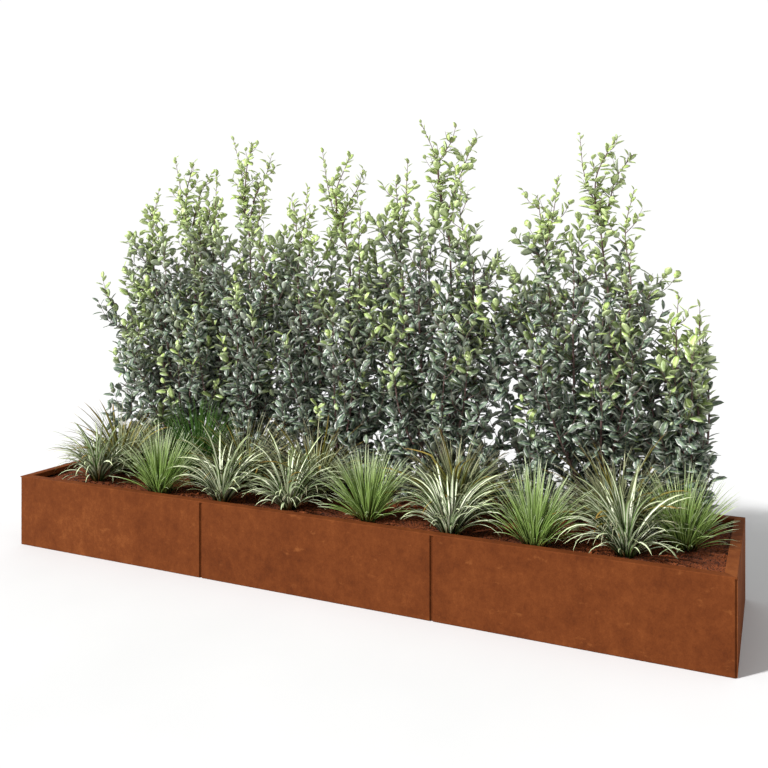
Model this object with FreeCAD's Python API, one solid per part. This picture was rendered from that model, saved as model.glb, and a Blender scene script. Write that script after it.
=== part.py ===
"""Planter box of weathering steel, bolted together from modules, filled and planted.

Millimetres. X runs along the length, Y from the front to the back, Z up. The
origin is the centre of the footprint, on the ground.
"""
import FreeCAD, Part

import math
import os

from FreeCAD import Placement, Rotation, Vector

# ---- the box --------------------------------------------------------------
LENGTH = 3900.0
WIDTH = 900.0
HEIGHT = 400.0
MODULES = ("left", "middle", "right")  # one folded panel each, in front and behind

# ---- folded sheet ---------------------------------------------------------
SHEET = 3.0
BEND = 1.0  # inner radius of every fold
RIM_WIDTH = 50.0
LIP_DROP = 30.0  # the down-turned inner edge of the rim
RETURN_WIDTH = 30.0  # the fold inwards at the bottom of each wall
GROOVE_HALF = 8.0  # each panel's share of the shadow groove at a seam
GROOVE_DEPTH = 8.0
SEAM_EDGE = 1.0  # radius where a flange turns inwards at the seam
LIP_CLEARANCE = 4.0  # from a bolting flange's edge to the lip

# ---- joining plates under the rim -----------------------------------------
PLATE = 3.0
PLATE_GAP = 1.0  # between a plate and the folds beside it
SPLICE_LENGTH = 160.0
CORNER_LEG = 120.0

# ---- fasteners ------------------------------------------------------------
BOLT_RADIUS = 4.0
HOLE_GAP = 0.5
HEX_ACROSS = 13.0
HEAD_HEIGHT = 5.3
NUT_HEIGHT = 6.8
BOLT_SPARE = 5.0  # thread beyond the nut
WASHER_RADIUS = 8.0
WASHER = 1.6
BOLTS_PER_SEAM = 4
BOLT_INSET = 55.0  # first and last bolt from the ends of the flange

# ---- cross ties -----------------------------------------------------------
TIE_HEIGHT = 40.0
TIE_THICK = 5.0
TIE_CLEARANCE = 4.0  # above the fleece

# ---- floor ----------------------------------------------------------------
BEARERS_PER_MODULE = 2
BEARER_WIDTH = 40.0
BEARER_HEIGHT = 30.0
FLOOR_SHEET = 3.0
FLOOR_GAP = 1.0  # round each floor plate
DRAIN_RADIUS = 6.0
DRAINS_ALONG = 4
DRAINS_ACROSS = 3

# ---- fill -----------------------------------------------------------------
DRAINAGE_DEPTH = 50.0
FLEECE = 2.0
SOIL_DROP = 35.0  # soil surface below the top of the rim
POCKET_GAP = 3.0  # room left round joints and ties

# ---- plants ---------------------------------------------------------------
# Bed rows: where the row lies and how far its foliage reaches, as shares of the half width.
FRONT_ROW = (-0.97, -0.27)
MIDDLE_ROW = (-0.26, 0.20)
HEDGE_ROW = (0.21, 0.95)
HEDGE_CROWN = (-0.14, 0.92)  # above the middle row the hedge leans forward
PLANT_GAP = 8.0
HEDGE_END = 60.0  # from the outermost leaves to the end wall

TUFT_RADIUS = 215.0
TUFT_HEIGHT = 380.0
TUFT_ROOT_RADIUS = 70.0
TUFT_ROOT_DEPTH = 150.0
SEDGE_HEIGHT = 500.0
SHRUB_STEM_RADIUS = 16.0
SHRUB_ROOT_RADIUS = 100.0
SHRUB_ROOT_DEPTH = 190.0
SKIRT_TOP = 560.0  # height above the soil where the hedge starts to lean forward

# name, place along the length and across the width (shares of the half bed)
FRONT_PLANTS = (
    ("striped_sedge_1", -0.805, -0.49),
    ("green_grass_1", -0.533, -0.67),
    ("striped_sedge_2", -0.318, -0.67),
    ("striped_sedge_3", -0.118, -0.56),
    ("green_grass_2", 0.118, -0.56),
    ("striped_sedge_4", 0.354, -0.71),
    ("green_grass_3", 0.559, -0.64),
    ("striped_sedge_5", 0.764, -0.57),
)
MIDDLE_PLANTS = (
    ("bronze_sedge_1", -0.810, -0.04, SEDGE_HEIGHT),
    ("dark_grass", -0.508, 0.00, SEDGE_HEIGHT),
    ("bronze_sedge_2", -0.335, -0.04, SEDGE_HEIGHT),
    ("bronze_sedge_3", -0.105, -0.04, SEDGE_HEIGHT),
    ("bronze_sedge_4", 0.313, -0.04, SEDGE_HEIGHT),
    ("bronze_sedge_5", 0.727, -0.04, SEDGE_HEIGHT),
    ("green_grass_4", 0.877, -0.10, TUFT_HEIGHT),
)
# name, place along the length, height above the ground
SHRUBS = (
    ("shrub_1", -0.642, 2340.0),
    ("shrub_2", -0.418, 2430.0),
    ("shrub_3", -0.095, 2320.0),
    ("shrub_4", 0.230, 2450.0),
    ("shrub_5", 0.653, 2320.0),
    ("shrub_6", 0.882, 1530.0),
)

# ---- worked out -----------------------------------------------------------
HALF_LENGTH = LENGTH / 2
HALF_WIDTH = WIDTH / 2
MODULE_LENGTH = LENGTH / len(MODULES)
SEAMS = [-HALF_LENGTH + MODULE_LENGTH * i for i in range(1, len(MODULES))]
OUTER_BEND = BEND + SHEET
JOINT_TOP = HEIGHT - SHEET - PLATE  # grooves and flanges end under the rim's plates
FLANGE_REACH = RIM_WIDTH - SHEET - LIP_CLEARANCE  # from a wall's outer face to its flange's edge
BOLT_LINE = (GROOVE_DEPTH + SHEET + FLANGE_REACH) / 2  # from the outer face
PLATE_WIDTH = RIM_WIDTH - 2 * (SHEET + PLATE_GAP)
FLOOR_BASE = SHEET + BEARER_HEIGHT
FLOOR_TOP = FLOOR_BASE + FLOOR_SHEET
FLEECE_BASE = FLOOR_TOP + DRAINAGE_DEPTH
SOIL_BASE = FLEECE_BASE + FLEECE
SOIL_TOP = HEIGHT - SOIL_DROP
TIE_BASE = SOIL_BASE + TIE_CLEARANCE
TIE_MIDDLE = TIE_BASE + TIE_HEIGHT / 2
UP = Vector(0, 0, 1)
ALONG = Vector(1, 0, 0)


# ---- helpers --------------------------------------------------------------
def box(low, high):
    """A block between two opposite corners."""
    size = [b - a for a, b in zip(low, high)]
    return Part.makeBox(*size, Vector(*low))


def rounded_face(corners):
    """A flat face from (point, radius) corners, each rounded with a tangent arc."""
    edges, starts, ends = [], [], []
    count = len(corners)
    for i, (point, radius) in enumerate(corners):
        before = (corners[i - 1][0] - point).normalize()
        after = (corners[(i + 1) % count][0] - point).normalize()
        half = before.getAngle(after) / 2
        trim = radius / math.tan(half)
        starts.append(point + before * trim)
        ends.append(point + after * trim)
        if radius > 0:
            outward = (before + after).normalize() * -1
            middle = point - outward * (radius / math.sin(half) - radius)
            edges.append(Part.Arc(starts[i], middle, ends[i]).toShape())
        if i > 0:
            edges.append(Part.LineSegment(ends[i - 1], starts[i]).toShape())
    edges.append(Part.LineSegment(ends[-1], starts[0]).toShape())
    return Part.Face(Part.Wire(Part.__sortEdges__(edges)))


def joined(*solids):
    """One solid from solids that touch or overlap."""
    return solids[0].fuse(list(solids[1:])).removeSplitter()


def export(name, shape):
    """Write one node's file."""
    shape.exportStep("parts/" + name + ".step")


def hexagon(across, height):
    """A hexagonal prism along X, standing on the plane x = 0."""
    radius = across / math.sqrt(3)
    points = [
        Vector(0, radius * math.cos(math.radians(60 * i)), radius * math.sin(math.radians(60 * i)))
        for i in range(7)
    ]
    return Part.Face(Part.makePolygon(points)).extrude(ALONG * height)


# ---- walls ----------------------------------------------------------------
def wall_section():
    """Bottom return, face, rim and lip of a wall whose outer face is y = 0, looking along X."""
    outline = (
        (RETURN_WIDTH, 0, 0),
        (0, 0, OUTER_BEND),
        (0, HEIGHT, OUTER_BEND),
        (RIM_WIDTH, HEIGHT, OUTER_BEND),
        (RIM_WIDTH, HEIGHT - LIP_DROP, 0),
        (RIM_WIDTH - SHEET, HEIGHT - LIP_DROP, 0),
        (RIM_WIDTH - SHEET, HEIGHT - SHEET, BEND),
        (SHEET, HEIGHT - SHEET, BEND),
        (SHEET, SHEET, BEND),
        (RETURN_WIDTH, SHEET, 0),
    )
    return rounded_face([(Vector(0, y, z), radius) for y, z, radius in outline])


def mitre_waste():
    """What a 45 degree mitre takes off a wall at its x = 0 end."""
    reach = RIM_WIDTH + SHEET
    points = [(-SHEET, -SHEET), (reach, reach), (-SHEET, reach), (-SHEET, -SHEET)]
    outline = Part.makePolygon([Vector(x, y, -SHEET) for x, y in points])
    return Part.Face(outline).extrude(UP * (HEIGHT + 2 * SHEET))


def joggle(inset):
    """The fold at a panel's x = 0 end: into the groove, along its floor, then inwards as a flange."""
    face_end = GROOVE_HALF + OUTER_BEND
    floor_back = GROOVE_DEPTH + SHEET
    outline = (
        (face_end, 0, 0),
        (GROOVE_HALF, 0, SHEET),
        (GROOVE_HALF, GROOVE_DEPTH, BEND),
        (inset, GROOVE_DEPTH, SEAM_EDGE),
        (inset, FLANGE_REACH, 0),
        (inset + SHEET, FLANGE_REACH, 0),
        (inset + SHEET, floor_back, 0),
        (GROOVE_HALF + SHEET, floor_back, 0),
        (GROOVE_HALF + SHEET, SHEET, 0),
        (face_end, SHEET, 0),
    )
    corners = [(Vector(x, y, OUTER_BEND), radius) for x, y, radius in outline]
    return rounded_face(corners).extrude(UP * (JOINT_TOP - OUTER_BEND))


def bolt_heights():
    """Heights of the bolts along a flange."""
    low = SHEET + BOLT_INSET
    step = (JOINT_TOP - BOLT_INSET - low) / (BOLTS_PER_SEAM - 1)
    return [low + step * i for i in range(BOLTS_PER_SEAM)]


def flange_holes(heights):
    """Drills through a flange near x = 0, at the given heights."""
    radius = BOLT_RADIUS + HOLE_GAP
    drill = 4 * SHEET
    start = -drill / 4
    return [Part.makeCylinder(radius, drill, Vector(start, BOLT_LINE, z), ALONG) for z in heights]


def flipped(shape, length):
    """The mirror image of a panel's end, for its other end."""
    return shape.mirror(Vector(length / 2, 0, 0), ALONG)


def long_panel(left_end, right_end):
    """A front or back module, from x = 0, outer face y = 0. An end is a seam or a corner."""
    solid = wall_section().extrude(ALONG * MODULE_LENGTH)
    edge = GROOVE_HALF + OUTER_BEND
    notch = box((-SHEET, -SHEET, -SHEET), (GROOVE_HALF, GROOVE_DEPTH, JOINT_TOP))
    relief = box((GROOVE_HALF, -SHEET, OUTER_BEND), (edge, GROOVE_DEPTH, JOINT_TOP))
    for end, turn in ((left_end, False), (right_end, True)):
        corner = end == "corner"
        waste = [notch, relief] + ([mitre_waste()] if corner else [])
        fold = joggle(SHEET if corner else 0.0)
        heights = bolt_heights() + ([] if corner else [TIE_MIDDLE])
        drills = flange_holes(heights)
        if turn:
            waste = [flipped(s, MODULE_LENGTH) for s in waste]
            drills = [flipped(s, MODULE_LENGTH) for s in drills]
            fold = flipped(fold, MODULE_LENGTH)
        solid = joined(solid.cut(waste), fold).cut(drills)
    return solid


def end_panel():
    """An end wall, from x = 0, outer face y = 0. Its face butts the floors of the corner grooves."""
    solid = wall_section().extrude(ALONG * WIDTH)
    notch = box((-SHEET, -SHEET, -SHEET), (GROOVE_DEPTH, RIM_WIDTH - SHEET, JOINT_TOP))
    waste = [notch, mitre_waste()]
    return solid.cut(waste + [flipped(s, WIDTH) for s in waste])


def on_side(shape, side, start):
    """Place a wall built from x = 0: front and back start at an x, the ends fill the width."""
    angle, base = {
        "front": (0, Vector(start, -HALF_WIDTH, 0)),
        "back": (180, Vector(-start, HALF_WIDTH, 0)),
        "right": (90, Vector(HALF_LENGTH, -HALF_WIDTH, 0)),
        "left": (-90, Vector(-HALF_LENGTH, HALF_WIDTH, 0)),
    }[side]
    placed = shape.copy()
    placed.Placement = Placement(base, Rotation(UP, angle))
    return placed


def walls():
    """The eight folded panels."""
    last = len(MODULES) - 1
    for i, name in enumerate(MODULES):
        start = -HALF_LENGTH + i * MODULE_LENGTH
        left = "corner" if i == 0 else "seam"
        right = "corner" if i == last else "seam"
        export("front_panel_" + name, on_side(long_panel(left, right), "front", start))
        export("back_panel_" + name, on_side(long_panel(right, left), "back", -start - MODULE_LENGTH))
    for side in ("left", "right"):
        export("end_panel_" + side, on_side(end_panel(), side, 0))


# ---- plates under the rim -------------------------------------------------
def rim_plates():
    """Straight plates at the seams and angled ones at the mitres, welded under the rim."""
    inner = HALF_WIDTH - RIM_WIDTH + SHEET + PLATE_GAP
    for i, x in enumerate(SEAMS, 1):
        low = (x - SPLICE_LENGTH / 2, inner, JOINT_TOP)
        high = (x + SPLICE_LENGTH / 2, inner + PLATE_WIDTH, JOINT_TOP + PLATE)
        plate = box(low, high)
        export(f"rim_splice_back_{i}", plate)
        export(f"rim_splice_front_{i}", plate.mirror(Vector(0, 0, 0), Vector(0, 1, 0)))
    outer_x = HALF_LENGTH - SHEET - PLATE_GAP
    outer_y = HALF_WIDTH - SHEET - PLATE_GAP
    long_leg = box(
        (outer_x - CORNER_LEG, outer_y - PLATE_WIDTH, JOINT_TOP),
        (outer_x, outer_y, JOINT_TOP + PLATE),
    )
    short_leg = box(
        (outer_x - PLATE_WIDTH, outer_y - CORNER_LEG, JOINT_TOP),
        (outer_x, outer_y, JOINT_TOP + PLATE),
    )
    angle = joined(long_leg, short_leg)
    for side, flip_y in (("back", False), ("front", True)):
        plate = angle.mirror(Vector(0, 0, 0), Vector(0, 1, 0)) if flip_y else angle
        export(f"rim_corner_{side}_right", plate)
        export(f"rim_corner_{side}_left", plate.mirror(Vector(0, 0, 0), ALONG))


# ---- fasteners ------------------------------------------------------------
def bolt(grip):
    """A hexagon bolt along X: the head ends at x = 0 and the shank grips what follows."""
    head = hexagon(HEX_ACROSS, HEAD_HEIGHT)
    head.translate(ALONG * -HEAD_HEIGHT)
    length = grip + NUT_HEIGHT + BOLT_SPARE
    return joined(head, Part.makeCylinder(BOLT_RADIUS, length, Vector(0, 0, 0), ALONG))


def nut():
    """A hexagon nut along X, from x = 0."""
    hole = Part.makeCylinder(BOLT_RADIUS, NUT_HEIGHT, Vector(0, 0, 0), ALONG)
    return hexagon(HEX_ACROSS, NUT_HEIGHT).cut(hole)


def washer():
    """A plain washer along X, from x = 0."""
    hole = Part.makeCylinder(BOLT_RADIUS + HOLE_GAP, WASHER, Vector(0, 0, 0), ALONG)
    return Part.makeCylinder(WASHER_RADIUS, WASHER, Vector(0, 0, 0), ALONG).cut(hole)


def stud():
    """A stud welded to an end wall's inside at x = 0, pointing along X."""
    length = SHEET + WASHER + NUT_HEIGHT + BOLT_SPARE
    return Part.makeCylinder(BOLT_RADIUS, length, Vector(0, 0, 0), ALONG)


def moved(shape, x, y, z, turned=False):
    """A copy at a place, turned end for end where asked."""
    placed = shape.copy()
    placed.Placement = Placement(Vector(x, y, z), Rotation(UP, 180 if turned else 0))
    return placed


def fasteners():
    """Bolts, nuts and washers at the seams and ties, and studs with nuts in the corners."""
    bolt_y = HALF_WIDTH - BOLT_LINE
    rows = [(y, z) for y in (-bolt_y, bolt_y) for z in bolt_heights()]
    grip = 2 * SHEET + 2 * WASHER
    bolts, nuts, washers = [], [], []
    for x in SEAMS:
        for y, z in rows:
            head_face = x - SHEET - WASHER
            bolts.append(moved(bolt(grip), head_face, y, z))
            washers.append(moved(washer(), head_face, y, z))
            washers.append(moved(washer(), x + SHEET, y, z))
            nuts.append(moved(nut(), x + SHEET + WASHER, y, z))
    export("seam_bolts", Part.makeCompound(bolts))
    export("seam_nuts", Part.makeCompound(nuts))
    export("seam_washers", Part.makeCompound(washers))

    tie_grip = 2 * SHEET + TIE_THICK
    places = [(x, y) for x in SEAMS for y in (-bolt_y, bolt_y)]
    tie_bolts = [moved(bolt(tie_grip), x - SHEET, y, TIE_MIDDLE) for x, y in places]
    tie_nuts = [moved(nut(), x + SHEET + TIE_THICK, y, TIE_MIDDLE) for x, y in places]
    export("tie_bolts", Part.makeCompound(tie_bolts))
    export("tie_nuts", Part.makeCompound(tie_nuts))

    studs, corner_nuts, corner_washers = [], [], []
    for side, turned in ((1, True), (-1, False)):
        inside = HALF_LENGTH - SHEET
        for y, z in rows:
            studs.append(moved(stud(), side * inside, y, z, turned))
            corner_washers.append(moved(washer(), side * (inside - SHEET), y, z, turned))
            corner_nuts.append(moved(nut(), side * (inside - SHEET - WASHER), y, z, turned))
    export("corner_studs", Part.makeCompound(studs))
    export("corner_nuts", Part.makeCompound(corner_nuts))
    export("corner_washers", Part.makeCompound(corner_washers))


def ties():
    """Flat bars on edge that tie the front and back flanges together at each seam."""
    reach = HALF_WIDTH - GROOVE_DEPTH - 2 * SHEET
    bolt_y = HALF_WIDTH - BOLT_LINE
    for i, x in enumerate(SEAMS, 1):
        low = (x + SHEET, -reach, TIE_BASE)
        high = (x + SHEET + TIE_THICK, reach, TIE_BASE + TIE_HEIGHT)
        holes = [
            Part.makeCylinder(BOLT_RADIUS + HOLE_GAP, TIE_THICK, Vector(low[0], y, TIE_MIDDLE), ALONG)
            for y in (-bolt_y, bolt_y)
        ]
        export(f"cross_tie_{i}", box(low, high).cut(holes))


# ---- floor ----------------------------------------------------------------
def bearer():
    """A folded channel, open side down, across the box on the bottom returns, centred on x = 0."""
    half = BEARER_WIDTH / 2
    reach = HALF_WIDTH - SHEET - PLATE_GAP
    outline = (
        (-half, SHEET, 0),
        (-half, FLOOR_BASE, OUTER_BEND),
        (half, FLOOR_BASE, OUTER_BEND),
        (half, SHEET, 0),
        (half - SHEET, SHEET, 0),
        (half - SHEET, FLOOR_BASE - SHEET, BEND),
        (-half + SHEET, FLOOR_BASE - SHEET, BEND),
        (-half + SHEET, SHEET, 0),
    )
    section = rounded_face([(Vector(x, -reach, z), radius) for x, z, radius in outline])
    return section.extrude(Vector(0, 2 * reach, 0))


def floor_plate(start):
    """A module's floor, notched round the flanges and drilled to drain."""
    reach = HALF_WIDTH - SHEET - FLOOR_GAP
    low_x = start + SHEET + FLOOR_GAP
    high_x = start + MODULE_LENGTH - SHEET - FLOOR_GAP
    plate = box((low_x, -reach, FLOOR_BASE), (high_x, reach, FLOOR_TOP))
    notch_x = GROOVE_HALF + 2 * SHEET
    notch_y = FLANGE_REACH + FLOOR_GAP
    cuts = []
    for x0, x1 in ((start, start + notch_x), (high_x - notch_x, start + MODULE_LENGTH)):
        cuts.append(box((x0, -HALF_WIDTH, 0), (x1, notch_y - HALF_WIDTH, HEIGHT)))
        cuts.append(box((x0, HALF_WIDTH - notch_y, 0), (x1, HALF_WIDTH, HEIGHT)))
    # the holes stand between the bearers and clear of them
    for i in range(DRAINS_ALONG):
        x = start + MODULE_LENGTH * (i + 0.5) / DRAINS_ALONG
        for k in range(DRAINS_ACROSS):
            y = WIDTH * ((k + 0.5) / DRAINS_ACROSS - 0.5)
            base = Vector(x, y, FLOOR_BASE)
            cuts.append(Part.makeCylinder(DRAIN_RADIUS, FLOOR_SHEET, base))
    return plate.cut(cuts)


def floor():
    """Bearers and floor plates."""
    number = 0
    for i, name in enumerate(MODULES):
        start = -HALF_LENGTH + i * MODULE_LENGTH
        for k in range(BEARERS_PER_MODULE):
            number += 1
            x = start + MODULE_LENGTH * (k + 0.5) / BEARERS_PER_MODULE
            export(f"base_bearer_{number}", moved(bearer(), x, 0, 0))
        export("base_plate_" + name, floor_plate(start))


# ---- fill -----------------------------------------------------------------
def joint_pockets():
    """Room round the flanges, bolts and ties, which the fill leaves free."""
    bolt_end = TIE_THICK + NUT_HEIGHT + BOLT_SPARE + SHEET
    half = max(GROOVE_HALF + SHEET, bolt_end) + POCKET_GAP
    depth = FLANGE_REACH + POCKET_GAP
    pockets = []
    for x in [-HALF_LENGTH] + SEAMS + [HALF_LENGTH]:
        pockets.append(box((x - half, -HALF_WIDTH, 0), (x + half, depth - HALF_WIDTH, HEIGHT)))
        pockets.append(box((x - half, HALF_WIDTH - depth, 0), (x + half, HALF_WIDTH, HEIGHT)))
    for x in SEAMS:
        low = (x + SHEET - POCKET_GAP, -HALF_WIDTH, TIE_BASE - POCKET_GAP)
        high = (x + SHEET + TIE_THICK + POCKET_GAP, HALF_WIDTH, TIE_BASE + TIE_HEIGHT + POCKET_GAP)
        pockets.append(box(low, high))
    return pockets


def layer(base, top):
    """One layer of the fill, wall to wall."""
    reach_x = HALF_LENGTH - SHEET
    reach_y = HALF_WIDTH - SHEET
    block = box((-reach_x, -reach_y, base), (reach_x, reach_y, top))
    return block.cut(joint_pockets())


# ---- plants ---------------------------------------------------------------
def ellipse(x, y, z, half_x, half_y):
    """A level ellipse as a wire, its first point on the +X side."""
    circle = Part.Wire(Part.makeCircle(1.0, Vector(0, 0, 0)))
    matrix = FreeCAD.Matrix()
    matrix.scale(half_x, half_y, 1.0)
    matrix.move(Vector(x, y, z))
    return circle.transformGeometry(matrix)


def foliage(sections):
    """The outer shape of a plant, lofted through level ellipses from the ground up."""
    wires = [ellipse(*section) for section in sections]
    return Part.makeLoft(wires, True, True)


def root_ball(x, y, radius, depth):
    """The planted root ball, level with the soil."""
    return Part.makeCylinder(radius, depth, Vector(x, y, SOIL_TOP - depth))


def slots(stations, reach):
    """The stretch of the row that each plant has, from halfway to one neighbour to halfway to the next."""
    edges = [-reach] + [(a + b) / 2 for a, b in zip(stations, stations[1:])] + [reach]
    return list(zip(edges, edges[1:]))


def tuft(x, y, half_x, half_y, height):
    """A clump of blades: narrow at the soil, widest below the middle, over its root ball."""
    shape = ((0.0, 0.22), (0.12, 0.45), (0.42, 1.0), (0.75, 0.9), (1.0, 0.45))
    sections = [
        (x, y, SOIL_TOP + height * level, half_x * share, half_y * share) for level, share in shape
    ]
    roots = root_ball(x, y, min(TUFT_ROOT_RADIUS, half_x, half_y), TUFT_ROOT_DEPTH)
    return joined(roots, foliage(sections)), roots


def row_of_tufts(plants, row):
    """One row of clumps that stay clear of each other and inside their row."""
    low, high = (share * HALF_WIDTH for share in row)
    reach = HALF_LENGTH - RIM_WIDTH
    stations = [plant[1] * HALF_LENGTH for plant in plants]
    roots = []
    for plant, x, (left, right) in zip(plants, stations, slots(stations, reach)):
        y = plant[2] * HALF_WIDTH
        height = plant[3] if len(plant) > 3 else TUFT_HEIGHT
        half_x = min(TUFT_RADIUS, x - left, right - x) - PLANT_GAP / 2
        half_y = min(TUFT_RADIUS, y - low, high - y) - PLANT_GAP / 2
        solid, ball = tuft(x, y, half_x, half_y, height)
        export(plant[0], solid)
        roots.append(ball)
    return roots


def shrub(x, left, right, top):
    """Root ball, stem and crown of one shrub that fills its stretch of the hedge."""
    low, high = (share * HALF_WIDTH for share in HEDGE_ROW)
    y = low + SHRUB_ROOT_RADIUS + PLANT_GAP / 2
    crown_low, crown_high = (share * HALF_WIDTH for share in HEDGE_CROWN)
    mid_x, half_x = (left + right) / 2, (right - left - PLANT_GAP) / 2
    skirt_y, skirt = (low + high) / 2, (high - low) / 2
    crown_y, crown = (crown_low + crown_high) / 2, (crown_high - crown_low) / 2
    skirt_top = SOIL_TOP + SKIRT_TOP
    rise = top - skirt_top
    sections = [
        (mid_x, skirt_y, SOIL_TOP + 0.10 * SKIRT_TOP, 0.75 * half_x, 0.7 * skirt),
        (mid_x, skirt_y, SOIL_TOP + 0.40 * SKIRT_TOP, half_x, skirt),
        (mid_x, skirt_y, skirt_top, half_x, skirt),
        (mid_x, crown_y, skirt_top + 0.08 * rise, half_x, crown),
        (mid_x, crown_y, skirt_top + 0.45 * rise, half_x, crown),
        (mid_x, crown_y, skirt_top + 0.75 * rise, 0.85 * half_x, 0.8 * crown),
        (mid_x, crown_y, top, 0.6 * half_x, 0.5 * crown),
    ]
    roots = root_ball(x, y, SHRUB_ROOT_RADIUS, SHRUB_ROOT_DEPTH)
    stem = Part.makeCylinder(SHRUB_STEM_RADIUS, SKIRT_TOP, Vector(x, y, SOIL_TOP))
    return joined(roots, stem, foliage(sections)), roots


def hedge():
    """The row of shrubs along the back."""
    stations = [station * HALF_LENGTH for _, station, _ in SHRUBS]
    roots = []
    for (name, _, top), x, (left, right) in zip(
        SHRUBS, stations, slots(stations, HALF_LENGTH - HEDGE_END)
    ):
        solid, ball = shrub(x, left, right, top)
        export(name, solid)
        roots.append(ball)
    return roots


def fill_and_plants():
    """Drainage layer, fleece, plants, and the soil with a pit for each root ball."""
    roots = row_of_tufts(FRONT_PLANTS, FRONT_ROW)
    roots += row_of_tufts(MIDDLE_PLANTS, MIDDLE_ROW)
    roots += hedge()
    export("drainage_layer", layer(FLOOR_TOP, FLEECE_BASE))
    export("filter_fleece", layer(FLEECE_BASE, SOIL_BASE))
    export("soil", layer(SOIL_BASE, SOIL_TOP).cut(roots))


os.makedirs("parts", exist_ok=True)
walls()
rim_plates()
ties()
fasteners()
floor()
fill_and_plants()
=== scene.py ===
"""Looks of the planted weathering-steel planter: patina, soil, grasses and hedge."""
import math

import bpy
import numpy as np
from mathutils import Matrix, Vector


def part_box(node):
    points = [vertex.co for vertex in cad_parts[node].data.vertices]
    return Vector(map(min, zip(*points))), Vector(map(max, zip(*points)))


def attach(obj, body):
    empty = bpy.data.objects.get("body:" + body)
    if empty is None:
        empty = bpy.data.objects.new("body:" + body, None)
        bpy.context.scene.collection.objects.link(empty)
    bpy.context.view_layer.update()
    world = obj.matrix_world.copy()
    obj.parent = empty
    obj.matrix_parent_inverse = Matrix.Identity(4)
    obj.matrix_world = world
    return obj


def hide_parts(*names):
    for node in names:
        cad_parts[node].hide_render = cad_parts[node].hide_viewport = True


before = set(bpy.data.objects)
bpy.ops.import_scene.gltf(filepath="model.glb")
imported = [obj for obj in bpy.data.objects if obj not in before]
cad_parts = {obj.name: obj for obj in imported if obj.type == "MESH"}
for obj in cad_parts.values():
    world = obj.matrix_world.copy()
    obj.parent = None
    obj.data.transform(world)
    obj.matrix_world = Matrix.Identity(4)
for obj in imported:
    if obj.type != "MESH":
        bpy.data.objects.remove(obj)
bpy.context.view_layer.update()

# ---- the planter, read from the frame ----
BODY = "root"
SOIL_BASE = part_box("soil")[0][2]
SOIL_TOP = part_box("soil")[1][2]
HALF_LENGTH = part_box("front_panel_right")[1][0]
HALF_WIDTH = -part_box("front_panel_right")[0][1]
RIM_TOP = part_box("front_panel_right")[1][2]
RIM_WIDTH = 0.050
STEM_LINE = 0.1985  # the shrubs stand this far behind the middle

# ---- camera and light ----
CAMERA_PLACE = (2.094, -4.074, 1.624)
CAMERA_TURN = 24.915  # degrees to the left of straight ahead
CAMERA_LENS = 39.74  # mm on a 36 mm sensor
CAMERA_SHIFT = -0.151

FLOOR_SIZE = 60.0
SKY_STRENGTH = 1.02
SKY_OVERHEAD = 0.58  # the sky above, as a share of the sky at the horizon
SKY_FADE = (0.36, 0.62)  # from the one to the other, as the sine of the height
FLOOR_GAP = 0.0005  # the floor is this far under the planter
SUN_STRENGTH = 5.4
SUN_SOFTNESS = 5.0  # degrees
SUN_FROM = (-0.56, -0.62, 0.66)

# ---- leaf atlas ----
# Every leaf and blade takes one tile of a square grid in its UV map. The column is a
# leaf's age, from mature to young, or a blade's tint, and the row its pattern. The upper
# side fills the tile's lower half and the underside its upper half.
TILES = 8
TILE_MARGIN = 0.04
ROW_SHIFT = 7.31  # the noise of one pattern row lies this far from the next one's
UV_NAME = "OFBake"


# ==== small helpers ====
def srgb(red, green, blue):
    """A linear colour from 8-bit display values."""
    def linear(value):
        value /= 255
        return value / 12.92 if value <= 0.04045 else ((value + 0.055) / 1.055) ** 2.4
    return (linear(red), linear(green), linear(blue), 1.0)


def grey(value):
    """A linear grey."""
    return (value, value, value, 1.0)


def unit(vectors):
    """Vectors scaled to length one, along the last axis."""
    return vectors / np.maximum(np.linalg.norm(vectors, axis=-1, keepdims=True), 1e-9)


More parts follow.
